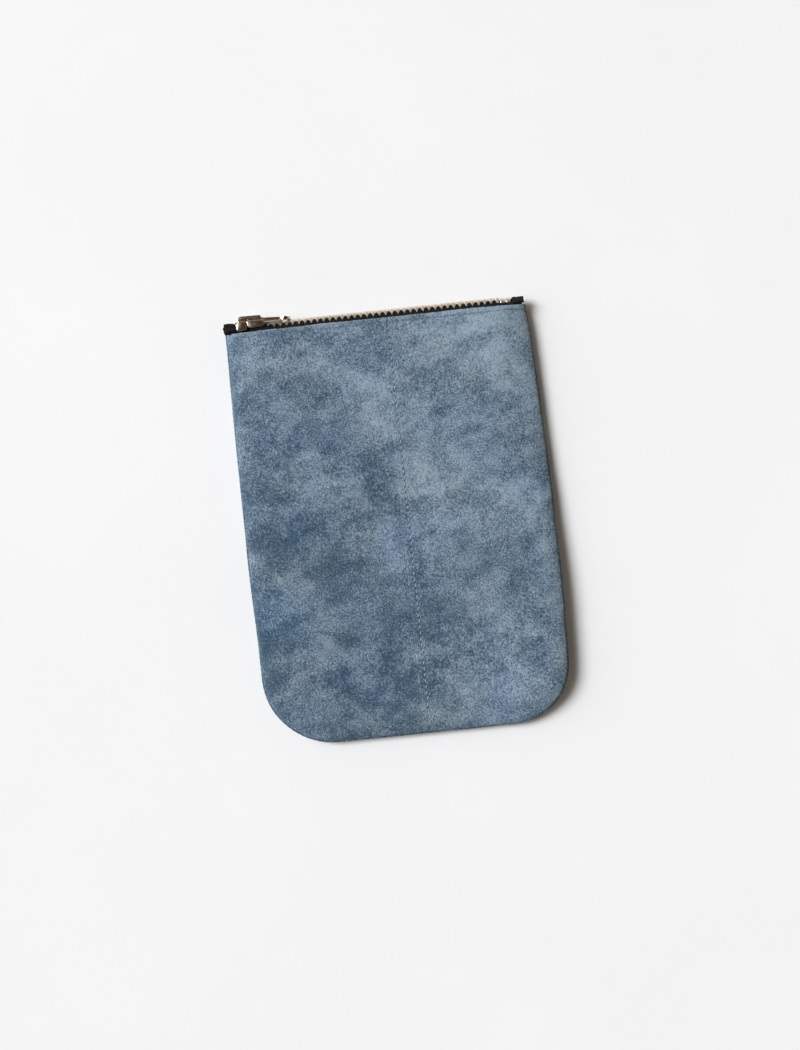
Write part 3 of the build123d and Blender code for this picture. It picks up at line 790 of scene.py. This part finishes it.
def on_chain(x, h, n, row, lean=None):
    """A point h up the row's face from the chain's middle and n out from it, row 1 the front and -1 the back."""
    lean = tilt_at(x) if lean is None else lean
    y = CHAIN_Y + n * np.cos(lean) - h * np.sin(lean)
    z = ZIP_Z + row * (h * np.cos(lean) + n * np.sin(lean))
    return np.stack(np.broadcast_arrays(x, y, z), -1)


def chamfered(half_u, low_n, high_n, c):
    """Eight corners of a rectangle with its corners cut off, u along the chain and n out of it."""
    return [(-half_u + c, low_n), (half_u - c, low_n), (half_u, low_n + c), (half_u, high_n - c),
            (half_u - c, high_n), (-half_u + c, high_n), (-half_u, high_n - c), (-half_u, low_n + c)]


def tooth_shape():
    """Lofts for one tooth: head, two legs and nib, as (u, h, n) points and faces."""
    verts, faces = [], []

    def loft(levels):
        start = len(verts)
        for h, half_u, low_n, high_n, c in levels:
            verts.extend((u, h, n) for u, n in chamfered(half_u, low_n, high_n, c))
        index = start + np.arange(len(levels) * 8).reshape(-1, 8)
        faces.extend(ring_faces(index) + [tuple(index[0]), tuple(index[-1][::-1])])

    loft([(-0.95, 0.34, -0.40, 0.80, 0.12), (-0.88, 0.50, -0.50, 0.99, 0.16), (-0.6, 0.66, -0.55, 1.07, 0.16),
          (-0.2, 0.78, -0.58, 1.1, 0.14), (0.1, 0.84, -0.58, 1.1, 0.14), (0.33, 0.82, -0.58, 1.07, 0.16),
          (0.55, 0.70, -0.58, 1.03, 0.18), (0.7, 0.62, -0.58, 0.98, 0.2)])
    for s in (-1, 1):
        levels = [(0.5, 0.71, 0.30, 1.02, 0.14), (0.85, 0.56, 0.29, 0.99, 0.15), (1.25, 0.40, 0.27, 0.90, 0.13),
                  (1.65, 0.26, 0.25, 0.76, 0.09), (2.0, 0.14, 0.25, 0.60, 0.05)]
        loft([(h, u, *sorted((s * a, s * b)), c) for h, u, a, b, c in levels])
    # The nib on one flank of the head
    start = len(verts)
    steps = 8
    for reach, size in ((0.45, 0.36), (0.66, 0.30), (0.74, 0.14)):
        for a in np.arange(steps) / steps * 2 * math.pi:
            verts.append((reach + 0.12, -0.30 + 0.8 * size * math.cos(a), size * 1.3 * math.sin(a)))
    index = start + np.arange(3 * steps).reshape(3, steps)
    faces.extend(ring_faces(index) + [tuple(index[-1]), tuple(index[0][::-1])])
    return np.array(verts), faces


def teeth(name, places, row, node, side):
    """One row of teeth, each a little out of place."""
    shape, shape_faces = tooth_shape()
    parts = []
    for x in places:
        u, h, n = (shape * [1 + 0.02 * RNG.normal(), 1, 1]).T
        points = on_chain(np.full(len(u), x), h + 0.03 * RNG.normal(), n, row)
        points[:, 0] += u
        parts.append((points, shape_faces))
    ob = new_object(name, *gathered(parts), TEETH_METAL)
    finish_mesh(ob, merge=1e-9)
    ob.data.shade_flat()
    place(ob, "teeth_metal", node, side)


TOOTH_WIDTH = 1.15  # along the chain, in the CAD
first = TEETH_F_LOW[0] + TOOTH_WIDTH / 2
front_places = np.arange(first, TEETH_F_HIGH[0] - 0.3, TOOTH_PITCH)
back_places = np.arange(first + TOOTH_PITCH / 2, TEETH_B_HIGH[0] - 0.3, TOOTH_PITCH)
teeth("teeth_front_left", front_places[front_places < SEAM_X], 1, "zipper_teeth_front", -1)
teeth("teeth_front_right", front_places[front_places > SEAM_X], 1, "zipper_teeth_front", 1)
teeth("teeth_back", back_places, -1, "zipper_teeth_back", None)

TAPE_HALF = 57.6  # half its length between the folded ends
TAPE_THICK = 0.45
TAPE_INSIDE = 13.0  # how far down it reaches inside the mouth
BEAD = 0.58  # radius of the cord at its edge
CORD_AT = 1.0  # the cord's height up the row, in the teeth's legs


def tape_section(x, row):
    """Points round the tape's cross-section at x, from the inside end to the cord and back, and how far across."""
    middle = []
    for y in MOUTH_Y + np.linspace(-TAPE_INSIDE, -0.8, 9):
        at = np.array([x]), np.array([y])
        z = inner_z(*at, edge_distance(*at), row > 0)[0]
        middle.append((y, z - row * (TAPE_THICK / 2 + 0.06)))
    a = np.array(middle[-1])
    folded = float(tilt_at(x) / TILT)
    last = 2.3 + 0.5 * folded
    c, below = on_chain(x, np.array([last, last - 0.5]), 0.0, row)[:, 1:]
    way = c - below
    way /= np.linalg.norm(way)
    reach = np.linalg.norm(c - a)
    b1, b2 = a + np.array([0.45 * reach, 0]), c + way * (0.14 + 0.24 * folded) * reach
    for t in np.linspace(0.12, 1, 9):
        middle.append((1 - t) ** 3 * a + 3 * t * (1 - t) ** 2 * b1 + 3 * t * t * (1 - t) * b2 + t**3 * c)
    for h in np.linspace(last, 1.85, 4)[1:]:
        middle.append(on_chain(x, h, 0.0, row)[1:])
    middle = np.array(middle)
    tangent = np.gradient(middle, axis=0)
    tangent /= np.linalg.norm(tangent, axis=1)[:, None]
    normal = np.stack([-tangent[:, 1], tangent[:, 0]], 1)
    run = arc_length(middle)
    one = middle + normal * TAPE_THICK / 2
    two = middle - normal * TAPE_THICK / 2
    cord_centre = on_chain(x, CORD_AT, 0.0, row)[1:]
    start = math.atan2(*(one[-1] - cord_centre)[::-1])
    end = math.atan2(*(two[-1] - cord_centre)[::-1])
    if end - start > 0:
        end -= 2 * math.pi
    angles = np.linspace(start, end, 12)[1:-1]
    cord = cord_centre + BEAD * np.stack([np.cos(angles), np.sin(angles)], 1)
    loop = np.concatenate([one, cord, two[::-1]])
    across = np.concatenate([run, run[-1] + np.linspace(0.2, 1.6, len(cord)), run[::-1]])
    return loop, across


def tape_piece(name, verts, faces, across, row, side):
    ob = new_object(name, verts, faces, TAPE)
    point_value(ob, "across", np.concatenate(across))
    finish_mesh(ob, merge=1e-9)
    return place(ob, "tape", "zipper_tape_front" if row > 0 else "zipper_tape_back", side)


def tape(name, x_from, x_to, row, side):
    xs = np.linspace(x_from, x_to, int(abs(x_to - x_from) / 0.8) + 1)
    loops = [tape_section(x, row) for x in xs]
    size = len(loops[0][0])
    verts = np.concatenate([np.insert(loop, 0, x, axis=1) for x, (loop, _) in zip(xs, loops)])
    index = np.arange(len(verts)).reshape(len(xs), size)
    faces = ring_faces(index)
    half = size // 2
    for end in (0, -1):
        faces.extend(strip_faces(index[end, :half], index[end, size - 1 : size - 1 - half : -1]).tolist())
    return tape_piece(name, verts, faces, [across for _, across in loops], row, side)


tapes = [
    tape("tape_front_left", -TAPE_HALF, SEAM_X, 1, -1),
    tape("tape_front_right", SEAM_X, TAPE_HALF, 1, 1),
    tape("tape_back", -TAPE_HALF, TAPE_HALF, -1, None),
]


def folded_end(name, x_in, x_out, row, side, seed, lean, reach, rough, thick):
    """The tape's end turned over on itself, crumpled: reach is its span up the row."""
    way = np.sign(x_out - x_in)
    length = abs(x_out - x_in)
    path = [(0.0, 0.16), (0.35 * length, 0.12), (0.7 * length, 0.14), (length - 0.5, 0.2), (length - 0.12, 0.36),
            (length, 0.68), (length - 0.14, 1.0), (length - 0.55, 1.16), (0.72 * length, 1.18), (0.4 * length, 1.12),
            (0.14 * length, 1.02)]
    t = np.linspace(0, 1, 41)
    path = np.array(path)
    run = np.concatenate([[0], np.cumsum(np.hypot(*np.diff(path, axis=0).T))])
    line = np.stack([np.interp(t, run / run[-1], path[:, i]) for i in (0, 1)])
    for _ in range(3):
        line[:, 1:-1] = (line[:, :-2] + 2 * line[:, 1:-1] + line[:, 2:]) / 4
    u, n = line
    du, dn = np.gradient(line, axis=1)
    size = np.hypot(du, dn)
    nu, nn = -dn / size, du / size
    hs = np.linspace(*reach, 19)
    verts, across = [], []
    for s in (1, -1):
        for h in hs:
            pinch = 1.0 - 0.35 * smooth((h - 2.4) / 1.4)
            x = x_in + way * (u + s * nu * 0.2)
            points = on_chain(x, np.full(len(t), h), (n * pinch + s * nn * 0.2) * thick, row, lean)
            creased = np.stack([fbm(points, 2.2, 2, seed + 20 * i) for i in range(3)], 1)
            creased += 0.4 * np.stack([fbm(points, 0.8, 2, seed + 70 + 20 * i) for i in range(3)], 1)
            points = points + rough * creased * [0.26, 0.24, 0.20]
            verts.append(points)
            across.append(np.full(len(t), h + 0.4))
    verts = np.concatenate(verts)
    index = np.arange(len(verts)).reshape(2, len(hs), len(t))
    return tape_piece(name, verts, sheet_faces(index), across, row, side)


LEFT_LEAN = math.radians(52)
folds = [
    folded_end("fold_left_front", -55.4, -61.2, 1, -1, 1.0, LEFT_LEAN, (0.1, 3.1), 2.6, 1.1),
    folded_end("fold_left_back", -57.3, -61.9, -1, None, 2.0, LEFT_LEAN, (-1.5, 3.1), 2.4, 1.0),
    folded_end("fold_right_front", 53.7, 58.9, 1, 1, 3.0, None, (0.0, 3.9), 1.5, 0.85),
    folded_end("fold_right_back", 53.8, 58.6, -1, None, 4.0, None, (0.0, 3.9), 1.4, 0.85),
]


def gable_stop():
    """The bottom stop: one strip of metal crimped over both cords."""
    section = [(2.45, 0.30), (2.5, 0.62), (2.35, 0.98), (1.9, 1.16), (1.0, 1.22), (0.25, 1.26)]
    inside = [(0.25, 0.45), (1.0, 0.42), (1.9, 0.36)]
    xs = np.linspace(STOP_LOW[0], STOP_HIGH[0], 25)
    t = np.linspace(-1, 1, 25)
    round_end = 1 - 0.5 * np.abs(t) ** 12 - 0.45 * np.exp(-((t / 0.16) ** 2))  # with a crimped waist
    verts = []
    for x, shrink in zip(xs, round_end):
        outer = [(h * (0.9 + 0.1 * shrink), 0.8 + (n - 0.8) * shrink) for h, n in section]
        for points, row in ((outer, 1), (outer[::-1], -1), (inside[::-1], -1), (inside, 1)):
            verts.extend(on_chain(x, h, n, row) for h, n in points)
    index = np.arange(len(verts)).reshape(len(xs), -1)
    faces = ring_faces(index) + [tuple(index[0]), tuple(index[-1][::-1])]
    ob = new_object("bottom_stop_gable", verts, faces, TEETH_METAL)
    finish_mesh(ob, merge=1e-9)
    place(ob, "teeth_metal", "bottom_stop", None)


gable_stop()


# ------------ slider


def slab(outline, axis, low, high, bevel, segments=3):
    """A plate with rounded edges, its outline in the two axes left over, as points and faces."""
    bm = bmesh.new()
    rings = [[bm.verts.new(np.insert(point, axis, level)) for point in outline] for level in (low, high)]
    bm.faces.new(rings[0])
    bm.faces.new(rings[1][::-1])
    count = len(outline)
    for i in range(count):
        j = (i + 1) % count
        bm.faces.new((rings[0][i], rings[0][j], rings[1][j], rings[1][i]))
    bmesh.ops.recalc_face_normals(bm, faces=bm.faces)
    sharp = [e for e in bm.edges if e.calc_face_angle(0) > math.radians(24)]
    bmesh.ops.bevel(bm, geom=sharp, offset=bevel, segments=segments, profile=0.6, affect="EDGES", clamp_overlap=True)
    bmesh.ops.remove_doubles(bm, verts=bm.verts, dist=0.03)
    bmesh.ops.dissolve_degenerate(bm, edges=bm.edges, dist=0.005)
    bm.verts.index_update()
    verts = np.array([v.co[:] for v in bm.verts])
    faces = [tuple(v.index for v in f.verts) for f in bm.faces]
    bm.free()
    return verts, faces


def joined(name, parts, material):
    """One piece of several slabs, shaded as sharp where it turns by more than 40 degrees."""
    ob = new_object(name, *gathered(parts), material)
    ob.data.set_sharp_from_angle(angle=math.radians(40))
    return ob


def mirrored(points):
    """An outline given along one side, closed by its mirror image across z = ZIP_Z."""
    return [(x, ZIP_Z + w) for x, w in points] + [(x, ZIP_Z - w) for x, w in points[::-1]]


def arc(cx, cy, radius, start, end, count):
    """Points round part of a circle, from start to end in degrees."""
    a = np.radians(np.linspace(start, end, count))
    return [(cx + radius * math.cos(t), cy + radius * math.sin(t)) for t in a]


SLIDER_FROM, SLIDER_TO = SLIDER_LOW[0], SLIDER_HIGH[0]
PLATE_TOP = CHAIN_Y + 1.95
PLATE_UNDER = CHAIN_Y + 1.5


def from_x(x, *points):
    """Points whose first number counts from x."""
    return [(x + a, b) for a, b in points]


# Half outlines, as x and the distance from ZIP_Z: the top plate, the one inside, and the wedge that parts the teeth
plan = from_x(SLIDER_FROM, (0, 1.6), (0.5, 2.9), (1.5, 4.0), (3.8, 4.05), (5.6, 3.75))
plan += from_x(SLIDER_TO, (-0.7, 3.7), (-0.15, 3.3), (0, 2.6))
inner_plan = from_x(SLIDER_FROM, (0, 0.75), (0.5, 1.05)) + from_x(SLIDER_TO, (-0.5, 1.05), (0, 0.75))
wedge = from_x(SLIDER_FROM, (0.1, 0.25), (0.8, 0.5), (1.9, 0.4), (2.8, 0.1))
body_parts = [
    slab(mirrored(plan), 1, PLATE_UNDER, PLATE_TOP, 0.22),
    slab(mirrored(inner_plan), 1, SLIDER_LOW[1], CHAIN_Y - 1.3, 0.22),
    slab(mirrored(wedge), 1, CHAIN_Y - 1.4, PLATE_UNDER + 0.1, 0.05, 1),
]
# Skirts, as x and y: the rear pair hugs the closed rows, the front pair flares where the parted rows enter
rear = from_x(SLIDER_TO, (-0.1, PLATE_TOP - 0.25), (-0.1, 82.2), (-0.5, 81.85), (-5.6, 81.65), (-6.4, 82.1),
              (-6.9, PLATE_TOP - 0.2))
flare = from_x(SLIDER_FROM, (0.75, 83.45), (0.6, 81.5), (0.95, 80.75), (4.3, 80.95), (4.7, 81.4), (4.7, 83.0),
               (4.2, 84.2), (1.6, 84.2))
for way in (-1, 1):
    for outline, near, far, bevel in ((rear, 3.15, 3.85, 0.24), (flare, 3.55, 4.3, 0.26)):
        body_parts.append(slab(outline, 2, *sorted((ZIP_Z + way * near, ZIP_Z + way * far)), bevel))
# Two posts that the cap is pressed on
for x in (CAP_LOW[0] + 0.9, CAP_HIGH[0] - 0.9):
    post = [(x - 0.5, ZIP_Z - 0.8), (x + 0.5, ZIP_Z - 0.8), (x + 0.5, ZIP_Z + 0.8), (x - 0.5, ZIP_Z + 0.8)]
    body_parts.append(slab(post, 1, PLATE_TOP - 0.1, CAP_HIGH[1] - 0.5, 0.1, 1))
body = joined("slider_body_shape", body_parts, SLIDER_METAL)

# The top stops: small clips crimped over the cords' ends
for row, label in ((1, "front"), (-1, "back")):
    stop_low, stop_high = mm_box(f"top_stop_{label}")
    middle, half = (stop_low[2] + stop_high[2]) / 2, (stop_high[2] - stop_low[2]) / 2
    reach = half * 1.15
    profile = [(-reach, -1), (reach, -1), (reach, 0.8), (0.45, 1), (0.45, -0.2), (-0.45, -0.2), (-0.45, 1)]
    clip = [(CHAIN_Y + y, middle + row * half * z) for y, z in profile + [(-reach, 0.8)]]
    clip_piece = joined(f"top_stop_{label}_clip", [slab(clip, 0, stop_low[0], stop_high[0], 0.14)], TEETH_METAL)
    place(clip_piece, "teeth_metal", f"top_stop_{label}", -1 if row > 0 else None)

# The cap: a bent cover with a rounded nose, open under its two cheeks for the crossbar
left, right, top, foot = CAP_LOW[0], CAP_HIGH[0], CAP_HIGH[1], PLATE_TOP - 0.05
bar_x = (SLIDER_FROM + SLIDER_TO) / 2
over = (
    [(left + 0.1, foot)]
    + arc(left + 1.35, top - 1.35, 1.35, 180, 90, 7)
    + [(right - 0.9, top - 0.12)]
    + arc(right - 0.7, top - 0.85, 0.7, 80, 0, 5)
    + [(right, foot)]
)
cheek = (
    over
    + [(bar_x + 0.85, foot), (bar_x + 0.85, foot + 0.75)]
    + arc(bar_x, foot + 0.9, 0.72, 0, 180, 7)
    + [(bar_x - 0.85, foot + 0.75), (bar_x - 0.85, foot)]
)
crown = (
    over
    + [(right - 0.45, foot), (right - 0.45, top - 0.75), (right - 1.0, top - 0.55)]
    + arc(left + 1.5, top - 1.5, 0.95, 90, 180, 5)
    + [(left + 0.55, foot)]
)
cap_parts = [slab(cheek, 2, *sorted((ZIP_Z + way * 1.42, ZIP_Z + way * 0.95)), 0.13) for way in (-1, 1)]
cap_parts.append(slab(crown, 2, ZIP_Z - 1.0, ZIP_Z + 1.0, 0.04, 1))
cap = joined("slider_cap_shape", cap_parts, SLIDER_METAL)
for ob, node in ((body, "slider_body"), (cap, "slider_cap")):
    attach(ob, "slider")
    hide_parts(node)


# ------------ the lower right edge, which curls off the floor

CURL = 3.3
CURL_SIDE = 28, 33  # it starts at this x, and is whole this far on
CURL_DOWN = 28, 70  # the same, down from this y
CURL_BASE = 7, 20  # it ends this far below the base seam, and fades over this much


def curl(x, y):
    side, down = smooth((x - CURL_SIDE[0]) / CURL_SIDE[1]), smooth((CURL_DOWN[0] - y) / CURL_DOWN[1])
    return CURL * MM * side * down * smooth((y - BASE_Y + CURL_BASE[0]) / CURL_BASE[1])


for name in ("suede_front_right", "suede_back", "seam_stitches_front_right", "seam_stitches_back"):
    vertices = bpy.data.objects[name].data.vertices
    flat = np.zeros(len(vertices) * 3, np.float32)
    vertices.foreach_get("co", flat)
    co = flat.reshape(-1, 3)
    co[:, 2] += curl(co[:, 0] / MM, co[:, 1] / MM)
    vertices.foreach_set("co", flat)


# ------------ materials of the CAD parts that stay

FINISH = {"tape": TAPE, "teeth_metal": TEETH_METAL, "slider_metal": SLIDER_METAL, "thread": THREAD}
SLOT_OF = {part["node"]: part["material_slot"] for part in frame["record"]["subparts"]}
for ob in bpy.context.scene.objects:
    finish = FINISH.get(SLOT_OF.get(ob.name))
    if ob.type != "MESH" or ob.name not in frame["nodes"] or finish is None:
        continue
    for material_slot in ob.material_slots:
        material_slot.link = "OBJECT"
        material_slot.material = finish


# ------------ floor, light and camera

FLOOR = 3000.0  # half its width
paint = Nodes("floor_paint")
speck = paint.noise(paint.add("ShaderNodeTexCoord").outputs["Object"], 9, 4.0, 0.6)
paint.set(Base_Color=paint.ramp(speck, [(0.3, (0.83, 0.835, 0.835)), (0.7, (0.86, 0.86, 0.86))]), Roughness=0.6)
corners = [(x * FLOOR, y * FLOOR, 0) for x, y in ((-1, -1), (1, -1), (1, 1), (-1, 1))]
floor = new_object("floor", corners, [(0, 1, 2, 3)], paint.material)


def sunlight(name, bearing, elevation, spread, strength, colour):
    """A soft light from far off: bearing turns from +X, and spread is how wide it looks, all in degrees."""
    data = bpy.data.lights.new(name, "SUN")
    data.energy = strength
    data.angle = math.radians(spread)
    data.color = colour
    ob = bpy.data.objects.new(name, data)
    b, e = math.radians(bearing), math.radians(elevation)
    towards = Vector((math.cos(b) * math.cos(e), math.sin(b) * math.cos(e), math.sin(e)))
    ob.rotation_euler = (-towards).to_track_quat("-Z", "Y").to_euler()
    bpy.context.scene.collection.objects.link(ob)


sunlight("window_left", 157, 49, 26, 2.86, (0.983, 1.0, 1.032))
sunlight("ceiling_left", 160, 42, 62, 1.24, (0.968, 1.0, 1.055))

scene = bpy.context.scene
world = bpy.data.worlds.new("studio")
scene.world = world
world.use_nodes = True
nodes, link = world.node_tree.nodes, world.node_tree.links.new
nodes.clear()
out = nodes.new("ShaderNodeOutputWorld")
seen = nodes.new("ShaderNodeBackground")
seen.inputs[0].default_value = (0.90, 0.905, 0.905, 1)
fill = nodes.new("ShaderNodeBackground")
# A bright band of walls under a dark ceiling lights the pouch, and the camera sees a plain pale backdrop
direction = nodes.new("ShaderNodeTexCoord")
split = nodes.new("ShaderNodeSeparateXYZ")
link(direction.outputs["Generated"], split.inputs[0])
walls = nodes.new("ShaderNodeValToRGB")
low, high = walls.color_ramp.elements
low.position, low.color = 0.12, (0.63, 0.55, 0.42, 1)
high.position, high.color = 0.62, (0.063, 0.045, 0.030, 1)
link(split.outputs[2], walls.inputs[0])
link(walls.outputs[0], fill.inputs[0])
path = nodes.new("ShaderNodeLightPath")
mixer = nodes.new("ShaderNodeMixShader")
link(path.outputs["Is Camera Ray"], mixer.inputs[0])
link(fill.outputs[0], mixer.inputs[1])
link(seen.outputs[0], mixer.inputs[2])
link(mixer.outputs[0], out.inputs[0])

FRAME_HEIGHT = 0.420  # metres of the pouch's plane from the bottom to the top of the picture
FRAME_PLANE = 0.008  # that plane's height
FRAME_AT = (0.0003, -0.0029)  # its point at the middle of the picture
FRAME_TURN = math.radians(-6.0)
scene.view_settings.view_transform = "Standard"
camera_data = bpy.data.cameras.new("camera")
camera_data.lens = 50
camera_data.sensor_width = 36
camera = bpy.data.objects.new("camera", camera_data)
scene.collection.objects.link(camera)
camera.location = (*FRAME_AT, FRAME_PLANE + FRAME_HEIGHT * camera_data.lens / camera_data.sensor_width)
camera.rotation_euler = (0, 0, FRAME_TURN)
scene.camera = camera
